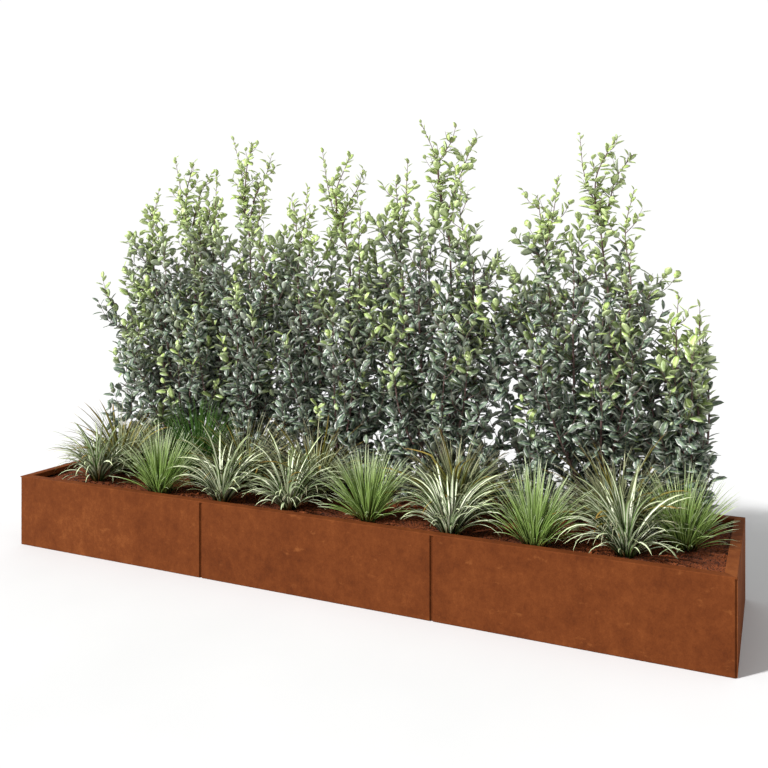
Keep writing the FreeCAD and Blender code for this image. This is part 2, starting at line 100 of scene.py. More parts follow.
class Graph:
    """A material's nodes, with short names for the ones used here."""

    def __init__(self, name):
        self.material = bpy.data.materials.new(name)
        self.material.use_nodes = True
        self.tree = self.material.node_tree
        self.tree.nodes.clear()
        self.shader = self.add("ShaderNodeBsdfPrincipled")
        self.add("ShaderNodeOutputMaterial", {"Surface": self.shader.outputs["BSDF"]})

    def add(self, kind, inputs=None, **settings):
        """A new node with its settings and inputs."""
        node = self.tree.nodes.new(kind)
        for key, value in settings.items():
            setattr(node, key, value)
        self.feed(node, inputs or {})
        return node

    def feed(self, node, inputs):
        """Link a node's inputs to outputs, or set them to numbers, vectors or colours."""
        for key, value in inputs.items():
            if isinstance(value, bpy.types.NodeSocket):
                self.tree.links.new(value, node.inputs[key])
            else:
                node.inputs[key].default_value = value

    def place(self):
        """The point on the object, in metres."""
        return self.add("ShaderNodeTexCoord").outputs["Object"]

    def scaled(self, vector, factors):
        inputs = {0: vector, 1: factors}
        return self.add("ShaderNodeVectorMath", inputs, operation="MULTIPLY").outputs["Vector"]

    def math(self, operation, first, second=0.0):
        return self.add("ShaderNodeMath", {0: first, 1: second}, operation=operation).outputs["Value"]

    def times(self, first, second):
        return self.math("MULTIPLY", first, second)

    def noise(self, vector, scale, detail=3.0, roughness=0.5):
        inputs = {"Vector": vector, "Scale": scale, "Detail": detail, "Roughness": roughness}
        return self.add("ShaderNodeTexNoise", inputs).outputs["Fac"]

    def cells(self, vector, scale):
        return self.add("ShaderNodeTexVoronoi", {"Vector": vector, "Scale": scale}).outputs["Distance"]

    def step(self, value, low, high):
        """0 below low, 1 above high, smooth between."""
        inputs = {"Value": value, "From Min": low, "From Max": high}
        return self.add("ShaderNodeMapRange", inputs, interpolation_type="SMOOTHSTEP").outputs["Result"]

    def between(self, value, low, high):
        """value, from 0 to 1, spread from low to high."""
        inputs = {"Value": value, "To Min": low, "To Max": high}
        return self.add("ShaderNodeMapRange", inputs).outputs["Result"]

    def mix(self, factor, first, second, blend="MIX"):
        inputs = {0: factor, 6: first, 7: second}
        return self.add("ShaderNodeMix", inputs, data_type="RGBA", blend_type=blend).outputs[2]

    def ramp(self, value, stops):
        node = self.add("ShaderNodeValToRGB", {"Fac": value})
        elements = node.color_ramp.elements
        while len(elements) < len(stops):
            elements.new(0.5)
        for element, (position, colour) in zip(elements, stops):
            element.position = position
            element.color = colour
        return node.outputs["Color"]

    def bump(self, height, distance, strength=1.0):
        inputs = {"Height": height, "Distance": distance, "Strength": strength}
        self.feed(self.shader, {"Normal": self.add("ShaderNodeBump", inputs).outputs["Normal"]})

    def finish(self, colour, roughness, **others):
        """Colour and roughness on the shader, and its other sockets as numbers."""
        inputs = {name.replace("_", " "): value for name, value in others.items()}
        self.feed(self.shader, {"Base Color": colour, "Roughness": roughness, **inputs})
        return self.material


# ==== materials ====
def weathering_steel(name, lift):
    """Rust patina: soft clouds, fine speckle, faint runs and scuffs. lift makes a panel paler."""
    g = Graph(name)
    place = g.place()
    clouds = g.noise(place, 3.2, 5.0, 0.6)
    blotches = g.noise(place, 14.0, 6.0, 0.7)
    mottle = g.noise(g.scaled(place, (1.0, 1.0, 0.7)), 52.0, 5.0, 0.65)
    runs = g.noise(g.scaled(place, (22.0, 22.0, 2.2)), 1.0, 4.0, 0.55)
    speckle = g.noise(place, 190.0, 3.0, 0.7)
    tone = g.times(clouds, 0.28)
    for layer, weight in ((blotches, 0.28), (mottle, 0.20), (runs, 0.06), (speckle, 0.18)):
        tone = g.math("ADD", tone, g.times(layer, weight))
    tone = g.math("ADD", tone, lift)
    colour = g.ramp(tone, (
        (0.36, srgb(76, 37, 17)),
        (0.46, srgb(91, 46, 21)),
        (0.54, srgb(101, 53, 25)),
        (0.66, srgb(122, 69, 35)),
    ))
    wisps = g.noise(g.scaled(place, (9.0, 9.0, 16.0)), 1.0, 8.0, 0.72)
    colour = g.mix(g.times(g.step(wisps, 0.58, 0.74), 0.55), colour, srgb(138, 83, 44))
    g.bump(g.math("ADD", g.times(speckle, 0.6), g.times(blotches, 0.8)), 0.0010, 0.45)
    return g.finish(colour, g.between(blotches, 0.70, 0.92), Specular_IOR_Level=0.04)


def inner_steel_painted_shade():
    """Sheet inside the box: the same patina with a damper finish, and darker as painted shade inside the box.
    """
    g = Graph("inner_steel_painted_shade")
    place = g.place()
    tone = g.noise(place, 14.0, 6.0, 0.65)
    # painted shade: this ramp is darker than the outer steel's
    colour = g.ramp(tone, ((0.3, srgb(44, 23, 14)), (0.6, srgb(78, 40, 23)), (0.8, srgb(100, 56, 32))))
    g.bump(g.noise(place, 220.0, 3.0), 0.001, 0.5)
    return g.finish(colour, g.between(tone, 0.6, 0.9), Specular_IOR_Level=0.3)


def zinc():
    """Zinc-plated fasteners with a faint bloom."""
    g = Graph("zinc")
    place = g.place()
    tone = g.noise(place, 160.0, 4.0, 0.6)
    colour = g.ramp(tone, ((0.3, srgb(142, 142, 138)), (0.7, srgb(186, 187, 184))))
    g.bump(g.noise(place, 900.0, 2.0), 0.0002, 0.4)
    return g.finish(colour, g.between(tone, 0.3, 0.5), Metallic=0.9)


def expanded_clay():
    """Round fired-clay pebbles, with painted shade in the gaps between them."""
    g = Graph("expanded_clay")
    place = g.place()
    pebbles = g.cells(place, 90.0)
    tone = g.noise(place, 60.0, 4.0, 0.6)
    colour = g.ramp(tone, ((0.3, srgb(104, 62, 44)), (0.7, srgb(168, 112, 82))))
    # painted shade: darker between the pebbles
    colour = g.mix(g.step(pebbles, 0.35, 0.6), colour, srgb(42, 26, 20))
    g.bump(g.math("SUBTRACT", 1.0, pebbles), 0.006)
    return g.finish(colour, g.between(tone, 0.8, 0.95))


def fleece_cloth():
    """Pale needle-felt fleece."""
    g = Graph("fleece_cloth")
    place = g.place()
    fibres = g.noise(g.scaled(place, (900.0, 250.0, 250.0)), 1.0, 3.0, 0.7)
    stain = g.noise(place, 6.0, 4.0)
    colour = g.mix(g.step(stain, 0.45, 0.7), srgb(206, 202, 192), srgb(150, 118, 92))
    g.bump(fibres, 0.0006)
    return g.finish(colour, g.between(fibres, 0.85, 1.0), Sheen_Weight=0.3)


def soil_earth():
    """Reddish crumbly earth with painted shade in the gaps between the crumbs."""
    g = Graph("soil_earth")
    place = g.place()
    crumbs = g.cells(place, 120.0)
    fine = g.noise(place, 260.0, 4.0, 0.7)
    patches = g.noise(place, 7.0, 5.0, 0.6)
    tone = g.math("ADD", g.times(fine, 0.45), g.times(patches, 0.55))
    colour = g.ramp(tone, (
        (0.36, srgb(66, 31, 14)),
        (0.50, srgb(112, 55, 26)),
        (0.64, srgb(152, 83, 43)),
    ))
    # painted shade: the gaps between the crumbs are darkened
    colour = g.mix(g.step(crumbs, 0.50, 0.82), colour, srgb(34, 16, 9))
    g.bump(g.math("SUBTRACT", fine, crumbs), 0.004)
    return g.finish(colour, g.between(fine, 0.8, 1.0), Specular_IOR_Level=0.2)


def bark():
    """Purple-grey young bark with pale flecks."""
    g = Graph("bark")
    place = g.place()
    grain = g.noise(g.scaled(place, (300.0, 300.0, 60.0)), 1.0, 4.0, 0.6)
    patches = g.noise(place, 9.0, 3.0)
    colour = g.ramp(grain, ((0.32, srgb(66, 50, 46)), (0.55, srgb(104, 84, 80)), (0.75, srgb(140, 124, 112))))
    colour = g.mix(g.times(patches, 0.5), colour, srgb(108, 66, 66))
    g.bump(grain, 0.0008)
    return g.finish(colour, g.between(grain, 0.6, 0.85))


def tile_coordinates(g):
    """Read the atlas back: age, pattern row, place along, place across (0 middle, 1 edge), underside."""
    uv = g.add("ShaderNodeUVMap", uv_map=UV_NAME).outputs["UV"]
    split = g.add("ShaderNodeSeparateXYZ", {0: g.scaled(uv, (TILES, TILES, 1.0))})
    across_tiles, up_tiles = split.outputs[0], split.outputs[1]
    age = g.math("DIVIDE", g.math("FLOOR", across_tiles), TILES - 1)
    row = g.math("FLOOR", up_tiles)
    along = g.math("FRACT", across_tiles)
    height = g.math("FRACT", up_tiles)
    under = g.math("GREATER_THAN", height, 0.5)
    half = g.math("FRACT", g.times(height, 2.0))
    across = g.math("ABSOLUTE", g.math("SUBTRACT", g.times(half, 2.0), 1.0))
    return age, row, along, across, under


def tile_noise(g, along, across, row, scale, stretch):
    """Noise laid on a leaf, different in each pattern row."""
    place = {0: g.times(along, stretch), 1: across, 2: g.times(row, ROW_SHIFT)}
    return g.noise(g.add("ShaderNodeCombineXYZ", place).outputs[0], scale, 3.0, 0.6)


def shrub_leaf():
    """Dark grey-green leaf with a pale margin, lime when young, silvery underneath."""
    g = Graph("shrub_leaf")
    age, row, along, across, under = tile_coordinates(g)
    cloud = tile_noise(g, along, across, row, 2.4, 1.6)
    edge = g.math("ADD", across, g.times(g.math("SUBTRACT", cloud, 0.5), 0.9))
    margin = g.step(edge, 0.50, 0.70)
    patch = g.step(cloud, 0.42, 0.62)
    mature = g.mix(patch, srgb(76, 93, 80), srgb(132, 149, 132))
    mature = g.mix(margin, mature, srgb(232, 235, 225))
    shade = g.ramp(g.math("DIVIDE", row, TILES - 1), ((0.0, grey(0.74)), (1.0, grey(1.0))))
    mature = g.mix(1.0, mature, shade, "MULTIPLY")
    young = g.mix(patch, srgb(154, 178, 94), srgb(188, 203, 128))
    young = g.mix(margin, young, srgb(230, 234, 198))
    youth = g.step(age, 0.15, 0.95)
    colour = g.mix(youth, mature, young)
    pale = g.mix(youth, srgb(162, 168, 155), srgb(190, 206, 144))
    colour = g.mix(under, colour, pale)
    midrib = g.step(across, 0.10, 0.03)
    colour = g.mix(g.times(midrib, 0.5), colour, srgb(150, 168, 110))
    slant = g.math("SUBTRACT", along, g.times(across, 0.22))
    veins = g.math("SINE", g.times(slant, 55.0))
    g.bump(g.math("ADD", g.times(veins, 0.3), cloud), 0.0012, 0.6)
    return g.finish(colour, g.between(cloud, 0.32, 0.52), Specular_IOR_Level=0.5)


REDDISH = srgb(112, 50, 24)  # the sheath of some blades


def blade_leaf(name, centre, flank, rim, centre_to, rim_from, tip, foot, foot_to):
    """A grass or sedge blade: a centre stripe, green flanks and a thin rim, a pale tip, and a dark foot
    painted as the shade at the clump's base.
    """
    g = Graph(name)
    tint, row, along, across, under = tile_coordinates(g)
    streak = tile_noise(g, along, across, row, 3.0, 0.8)
    limit = g.math("ADD", across, g.times(g.math("SUBTRACT", streak, 0.5), 0.30))
    flanks = g.mix(g.times(tint, 0.55), flank, centre)  # some blades are paler
    colour = g.mix(g.step(limit, centre_to - 0.08, centre_to + 0.08), centre, flanks)
    colour = g.mix(g.step(limit, rim_from, rim_from + 0.10), colour, rim)
    lines = g.math("SINE", g.times(across, 34.0))
    colour = g.mix(g.times(g.step(along, 0.55, 1.0), 0.65), colour, tip)
    # the foot colour is painted shade at the clump's base; the top rows take the reddish sheath instead
    sheath_and_foot_shade = g.mix(g.step(row, TILES - 3.5, TILES - 2.5), foot, REDDISH)
    colour = g.mix(g.step(along, foot_to, 0.08), colour, sheath_and_foot_shade)
    colour = g.mix(g.times(under, 0.3), colour, flank)
    g.bump(g.times(lines, 0.5), 0.0006, 0.5)
    return g.finish(colour, g.between(streak, 0.45, 0.65), Specular_IOR_Level=0.16)


# ==== meshes from arrays ====
class MeshParts:
    """Collects points and faces with their UVs, and makes one mesh of them."""

    def __init__(self):
        self.points, self.faces, self.uvs = [], [], []
        self.count = 0

    def add(self, points, faces, uvs=None):
        """points (n, 3), faces (m, k) into these points, uvs (m, k, 2)."""
        self.points.append(points.reshape(-1, 3))
        self.faces.append(faces + self.count)
        self.uvs.append(uvs)
        self.count += len(self.points[-1])

    def build(self, name, material, smooth=True):
        mesh = bpy.data.meshes.new(name)
        points = np.concatenate(self.points)
        sizes = np.concatenate([np.full(len(f), f.shape[1]) for f in self.faces])
        corners = np.concatenate([f.ravel() for f in self.faces])
        mesh.vertices.add(len(points))
        mesh.vertices.foreach_set("co", points.ravel())
        mesh.loops.add(len(corners))
        mesh.loops.foreach_set("vertex_index", corners.astype(np.int32))
        mesh.polygons.add(len(sizes))
        starts = np.concatenate([[0], np.cumsum(sizes)[:-1]]).astype(np.int32)
        mesh.polygons.foreach_set("loop_start", starts)
        mesh.polygons.foreach_set("loop_total", sizes.astype(np.int32))
        if self.uvs[0] is not None:
            layer = mesh.uv_layers.new(name=UV_NAME)
            layer.data.foreach_set("uv", np.concatenate([u.reshape(-1, 2) for u in self.uvs]).ravel())
        mesh.update(calc_edges=True)
        mesh.validate()
        if smooth:
            mesh.polygons.foreach_set("use_smooth", np.ones(len(mesh.polygons), dtype=bool))
        mesh.materials.append(material)
        piece = bpy.data.objects.new(name, mesh)
        bpy.context.collection.objects.link(piece)
        return piece


def tile_uv(column, row, along, across, under):
    """Atlas coordinates: along 0..1, across -1..1."""
    inner = 1 - 2 * TILE_MARGIN
    u = (column + TILE_MARGIN + along * inner) / TILES
    v = (row + 0.5 * under + 0.5 * (0.5 + 0.5 * across * inner)) / TILES
    return np.stack(np.broadcast_arrays(u, v), axis=-1)


def place_piece(piece, slot, *nodes):
    """A piece rides on the box and stands for its nodes, which are hidden. slot is not used."""
    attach(piece, BODY)
    if nodes:
        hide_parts(*nodes)


# ==== blades ====
OVER_RIM = 0.03  # this far above the rim a blade may reach out over it
FACE_CLEARANCE = 0.004  # from such a blade to the outer face
LIP_CLEARANCE = 0.008  # from a lower blade to the rim's lip
CRAMPED = 0.6  # blades with less room than this share of their way may turn aside
TURNED_ASIDE = 0.7  # the share of them that do
BLADE_FOLD = 0.28  # how far a blade's edges rise, as a share of its half width
BLADE_THICK = 0.0007
ROOTED = 0.01  # blades start this far under the soil's surface


def blade_ribbons(parts, paths, sides, widths, columns, rows):
    """Closed thin blades. paths (b, r, 3); sides (b, r, 3); widths (b, r) are half widths."""
    blades, rings = paths.shape[:2]
    tangents = unit(np.gradient(paths, axis=1))
    sides = unit(sides - tangents * np.sum(sides * tangents, axis=-1, keepdims=True))
    normals = np.cross(sides, tangents)
    normals *= np.where(normals[..., 2:] < 0, -1.0, 1.0)
    wide = widths[..., None]
    left = paths - sides * wide + normals * wide * BLADE_FOLD
    right = paths + sides * wide + normals * wide * BLADE_FOLD
    under = paths - normals * np.minimum(BLADE_THICK, wide)
    points = np.stack([left, paths, right, under], axis=2)  # (b, r, 4, 3)
    blade_start = (np.arange(blades) * rings * 4)[:, None]
    start = blade_start[..., None] + (np.arange(rings - 1) * 4)[None, :, None]
    first = np.array([0, 1, 2, 3])
    second = np.array([1, 2, 3, 0])
    quads = np.stack([start + first, start + second, start + 4 + second, start + 4 + first], axis=-1)
    along = np.linspace(0, 1, rings)
    low, high = (np.broadcast_to(a[None, :, None], (blades, rings - 1, 4)) for a in (along[:-1], along[1:]))
    is_under = np.array([0.0, 0.0, 1.0, 1.0])
    cross_a = np.array([-1.0, 0.0, 1.0, 0.0])
    cross_b = np.array([0.0, 1.0, 0.0, -1.0])
    column = columns[:, None, None]
    row = rows[:, None, None]
    uvs = np.stack([
        tile_uv(column, row, low, cross_a, is_under),
        tile_uv(column, row, low, cross_b, is_under),
        tile_uv(column, row, high, cross_b, is_under),
        tile_uv(column, row, high, cross_a, is_under),
    ], axis=-2)
    parts.add(points, quads.reshape(-1, 4), uvs.reshape(-1, 4, 2))
    # both ends are closed with a small face
    first_ring = blade_start + np.array([3, 2, 1, 0])
    last_ring = blade_start + (rings - 1) * 4 + np.array([0, 1, 2, 3])
    ends = np.concatenate([first_ring, last_ring]) + parts.count - points.size // 3
    flat = np.tile([-1.0, 0.0, 1.0, 0.0], (len(ends), 1))
    end_along = np.concatenate([np.zeros(blades), np.ones(blades)])[:, None]
    end_columns, end_rows = np.tile(columns, 2)[:, None], np.tile(rows, 2)[:, None]
    parts.faces.append(ends)
    parts.uvs.append(tile_uv(end_columns, end_rows, end_along, flat, 0.0))


def free_share(start, paths):
    """How much of its way outwards each blade can go before it meets the rim or passes the outer face."""
    over_rim = paths[..., 2] > RIM_TOP + OVER_RIM
    share = np.ones((len(paths), 1))
    for axis, half in ((0, HALF_LENGTH), (1, HALF_WIDTH)):
        reach = np.where(over_rim, half - FACE_CLEARANCE, half - RIM_WIDTH - LIP_CLEARANCE)
        moved = paths[..., axis] - start[:, None, axis]
        room = np.where(moved > 0, reach - start[:, None, axis], reach + start[:, None, axis])
        share = np.minimum(share, np.min(room / np.maximum(np.abs(moved), room), axis=1, keepdims=True))
    return share


def tuft_paths(rng, centre, count, rings, length, lean, bend, foot, wobble, kinked):
    """Centre lines of a clump of blades that start upright or leaning and bend outwards."""
    turn = rng.uniform(0, 2 * math.pi, count)
    depth = rng.uniform(0, 1, count) ** 0.6  # 0 in the clump's middle, 1 at its rim
    start_lean = np.radians(lean[0] + (lean[1] - lean[0]) * depth + rng.normal(0, 4, count))
    extra = np.radians(bend[0] + (bend[1] - bend[0]) * depth * rng.uniform(0.5, 1.2, count))
    sizes = rng.uniform(length[0], length[1], count) * (1.0 - 0.15 * depth)
    along = np.linspace(0, 1, rings)[None, :]
    angle = start_lean[:, None] + extra[:, None] * along ** 1.6
    kink = (rng.uniform(0, 1, count) < kinked)[:, None]
    kink_at = rng.uniform(0.35, 0.75, count)[:, None]
    angle = angle + kink * (along > kink_at) * np.radians(rng.uniform(20, 50, count))[:, None]
    step = sizes[:, None] / (rings - 1)
    sway = rng.normal(0, wobble, count)[:, None]
    lying = SOIL_TOP + 0.006 + 0.01 * rng.uniform(0, 1, count)[:, None]  # how low a blade may hang

    def grow(turn):
        heading = turn[:, None] + sway * along + 0.12 * np.sin(along * 5 + turn[:, None] * 3)
        flat = np.sin(angle) * step
        moves = np.stack([flat * np.cos(heading), flat * np.sin(heading), np.cos(angle) * step], axis=-1)
        start = np.stack([
            centre[0] + foot * depth * np.cos(turn),
            centre[1] + foot * depth * np.sin(turn),
            np.full(count, centre[2]),
        ], axis=-1)
        paths = start[:, None, :] + np.cumsum(moves, axis=1) - moves[:, :1, :]
        paths[..., 2] = np.maximum(paths[..., 2], lying)
        return start, paths, heading

    start, paths, _ = grow(turn)
    cramped = (free_share(start, paths)[:, 0] < CRAMPED) & (rng.uniform(0, 1, count) < TURNED_ASIDE)
    aside = np.where(np.cos(turn) > 0, 0.5, -0.5) * math.pi
    start, paths, heading = grow(np.where(cramped, turn + aside, turn))
    # what still meets the rim grows less far out, and shorter; then its new path is held inside too
    for shorten in (0.75, 0.0):
        share = free_share(start, paths)
        paths[..., :2] = start[:, None, :2] + (paths[..., :2] - start[:, None, :2]) * share[..., None]
        paths[..., 2] = SOIL_TOP + (paths[..., 2] - SOIL_TOP) * (1 - shorten * (1 - share))
    paths[:, 0, 2] = SOIL_TOP - ROOTED
    twist = rng.normal(0, 0.5, count)[:, None] * along
    sides = np.stack([-np.sin(heading + twist), np.cos(heading + twist), 0.5 * np.sin(twist * 2)], axis=-1)
    return paths, sides


def blade_width(rng, count, rings, half_width, belly):
    """Half widths along each blade: narrow at the foot, full from its belly on, pointed."""
    along = np.linspace(0, 1, rings)
    shape = (0.55 + 0.45 * np.clip(along / belly, 0, 1) ** 0.7) * (1 - along ** 2.6) ** 0.8
    shape = np.maximum(shape, 0.02)
    return half_width * rng.uniform(0.75, 1.15, count)[:, None] * shape[None, :]


def tuft_layer(parts, rng, centre, count, length, lean, bend, half_width, tint,
               foot=0.035, rings=10, belly=0.45, wobble=0.25, kinked=0.0):
    """One layer of a clump. rings: points along a blade. tint: first and last column of the atlas."""
    paths, sides = tuft_paths(rng, centre, count, rings, length, lean, bend, foot, wobble, kinked)
    widths = blade_width(rng, count, rings, half_width, belly)
    columns = rng.integers(tint[0], tint[1] + 1, count)
    rows = rng.integers(0, TILES, count)
    blade_ribbons(parts, paths, sides, widths, columns, rows)


def tuft(node, slot, material, seed, layers, ending="_blades"):
    """One clump, made of layers of blades, in place of its node."""
    rng = np.random.default_rng(seed)
    low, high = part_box(node)
    centre = ((low[0] + high[0]) / 2, (low[1] + high[1]) / 2, SOIL_TOP)
    parts = MeshParts()
    for layer in layers:
        tuft_layer(parts, rng, centre, **layer)
    place_piece(parts.build(node + ending, material), slot, node)


# ==== leaves on twigs ====
LEAF_SIDE = ((0.20, 0.66), (0.50, 1.0), (0.81, 0.68))  # a leaf's outline: place along, share of half width
LEAF_FOLD = 0.22  # how far the edges rise above the midrib, as a share of the half width
LEAF_THICK = 0.0009
LEAF_STALK = 0.004
LEAF_SPREAD = 60.0  # degrees from the twig
LEAF_DROOP = 0.12  # how far the tip hangs, as a share of the length


def leaf_template():
    """Points as (along, across, fold height, underside) and triangles with their atlas corners."""
    points = [(0.0, 0.0, 0.0, 0), (1.0, 0.0, 0.0, 0)]
    for along, wide in LEAF_SIDE:
        points += [(along, -wide, LEAF_FOLD * wide, 0), (along, wide, LEAF_FOLD * wide, 0)]
        points += [(along, 0.0, 0.0, 0), (along, 0.0, 0.0, 1)]
    triangles, unders = [], []
    for under in (0, 1):
        for side in (0, 1):
            rim = [2 + 4 * i + side for i in range(len(LEAF_SIDE))]
            rib = [4 + 4 * i + under for i in range(len(LEAF_SIDE))]
            strip = [(0, rim[0], rib[0]), (rim[-1], 1, rib[-1])]
            for i in range(len(LEAF_SIDE) - 1):
                strip += [(rim[i], rim[i + 1], rib[i + 1]), (rim[i], rib[i + 1], rib[i])]
            for triangle in strip:
                triangles.append(triangle[::-1] if side != under else triangle)
                unders.append(under)
    return np.array(points), np.array(triangles), np.array(unders)


LEAF_POINTS, LEAF_TRIANGLES, LEAF_UNDER = leaf_template()


class Leaves:
    """Leaves waiting to be made: where each starts, which way it points and its size."""

    def __init__(self):
        self.rows = []

    def add(self, origin, heading, facing, length, width, droop, age):
        self.rows.append((*origin, *heading, *facing, length, width, droop, age))

    def mesh(self, parts, rng):
        data = np.array(self.rows)
        origin, heading, facing = data[:, 0:3], unit(data[:, 3:6]), data[:, 6:9]
        length, width, droop, age = data[:, 9], data[:, 10], data[:, 11], data[:, 12]
        facing = unit(facing - heading * np.sum(facing * heading, axis=1, keepdims=True))
        side = np.cross(facing, heading)
        along, across, fold, under = (LEAF_POINTS[:, k][None, :] for k in range(4))
        reach = along * length[:, None]
        half = 0.5 * width[:, None]
        rise = fold * half - droop[:, None] * length[:, None] * along ** 2 - under * LEAF_THICK
        points = (
            origin[:, None, :]
            + heading[:, None, :] * reach[..., None]
            + side[:, None, :] * (across * half)[..., None]
            + facing[:, None, :] * rise[..., None]
        )
        count = len(data)
        faces = (np.arange(count) * len(LEAF_POINTS))[:, None, None] + LEAF_TRIANGLES[None]
        columns = np.clip(np.round(age * (TILES - 1)), 0, TILES - 1)[:, None, None]
        rows = rng.integers(0, TILES, count)[:, None, None]
        uvs = tile_uv(
            columns, rows,
            LEAF_POINTS[LEAF_TRIANGLES, 0][None], LEAF_POINTS[LEAF_TRIANGLES, 1][None],
            LEAF_UNDER[None, :, None],
        )
        parts.add(points, faces.reshape(-1, 3), uvs.reshape(-1, 3, 2))


def run_of(path):
    """How far along a path each of its points is."""
    return np.concatenate([[0], np.cumsum(np.linalg.norm(np.diff(path, axis=0), axis=1))])


def read_at(at, run, values):
    """Vectors given at a path's points, read at one or more distances along it."""
    return np.stack([np.interp(at, run, values[:, k]) for k in range(3)], axis=-1)


def smooth_path(points, count):
    """A curve through given points, as count points evenly spread along it."""
    points = np.array(points, dtype=float)
    padded = np.vstack([2 * points[0] - points[1], points, 2 * points[-1] - points[-2]])
    out = []
    for i in range(1, len(padded) - 2):
        p0, p1, p2, p3 = padded[i - 1: i + 3]
        for t in np.linspace(0, 1, 12, endpoint=False):
            out.append(0.5 * (
                2 * p1 + (p2 - p0) * t + (2 * p0 - 5 * p1 + 4 * p2 - p3) * t ** 2
                + (3 * p1 - p0 - 3 * p2 + p3) * t ** 3
            ))
    out.append(points[-1])
    out = np.array(out)
    run = run_of(out)
    return read_at(np.linspace(0, run[-1], count), run, out)


def tube(parts, path, radius_start, radius_end, sides=6):
    """A closed tapering tube along a path."""
    count = len(path)
    tangent = unit(np.gradient(path, axis=0))
    guide = np.array([1.0, 0.0, 0.0]) if abs(tangent[0][0]) < 0.8 else np.array([0.0, 1.0, 0.0])
    across = unit(np.cross(tangent, guide))
    other = np.cross(tangent, across)
    radius = np.linspace(radius_start, radius_end, count)[:, None, None]
    turn = np.arange(sides) * 2 * math.pi / sides
    ring = across[:, None, :] * np.cos(turn)[None, :, None] + other[:, None, :] * np.sin(turn)[None, :, None]
    points = path[:, None, :] + ring * radius
    start = (np.arange(count - 1) * sides)[:, None]
    k = np.arange(sides)[None, :]
    after = (np.arange(sides) + 1) % sides
    quads = np.stack([start + k, start + after, start + sides + after, start + sides + k], axis=-1)
    parts.add(points, quads.reshape(-1, 4))
    base, last = parts.count - count * sides, (count - 1) * sides
    ends = [(0, i + 1, i) for i in range(1, sides - 1)]
    ends += [(last, last + i, last + i + 1) for i in range(1, sides - 1)]
    parts.faces.append(np.array(ends) + base)
    parts.uvs.append(None)


GOLDEN_TURN = math.radians(137.5)


def leafy(leaves, rng, path, spacing, size, ages, start, ageing=1.5):
    """Leaves up a twig in a golden spiral. size and ages go from the first leaf to the last."""
    run = run_of(path)
    total = run[-1]
    tangent = unit(np.gradient(path, axis=0))
    turn = rng.uniform(0, 2 * math.pi)
    at = start * total
    while at <= total:
        share = at / total
        origin = read_at(at, run, path)
        ahead = unit(read_at(at, run, tangent))
        guide = np.array([0.0, 0.0, 1.0]) if abs(ahead[2]) < 0.9 else np.array([1.0, 0.0, 0.0])
        across = unit(np.cross(ahead, guide))
        other = np.cross(ahead, across)
        outward = across * math.cos(turn) + other * math.sin(turn)
        angle = math.radians(LEAF_SPREAD * (1 - 0.45 * share ** 3) + rng.normal(0, 13))
        heading = ahead * math.cos(angle) + outward * math.sin(angle)
        facing = ahead * math.sin(angle) - outward * math.cos(angle) + np.array([0, 0, 0.35])
        facing = facing + rng.normal(0, 0.22, 3)
        length = (size[0] + (size[1] - size[0]) * share ** 2) * rng.uniform(0.8, 1.18)
        age = ages[0] + (ages[1] - ages[0]) * share ** ageing + rng.normal(0, 0.07)
        width = length * (rng.uniform(0.50, 0.64) + 0.06 * age)
        hang = LEAF_DROOP * rng.uniform(0.2, 1.6)
        leaves.add(origin + heading * LEAF_STALK, heading, facing, length, width, hang, age)
        turn += GOLDEN_TURN + rng.normal(0, 0.25)
        at += spacing * rng.uniform(0.75, 1.25)


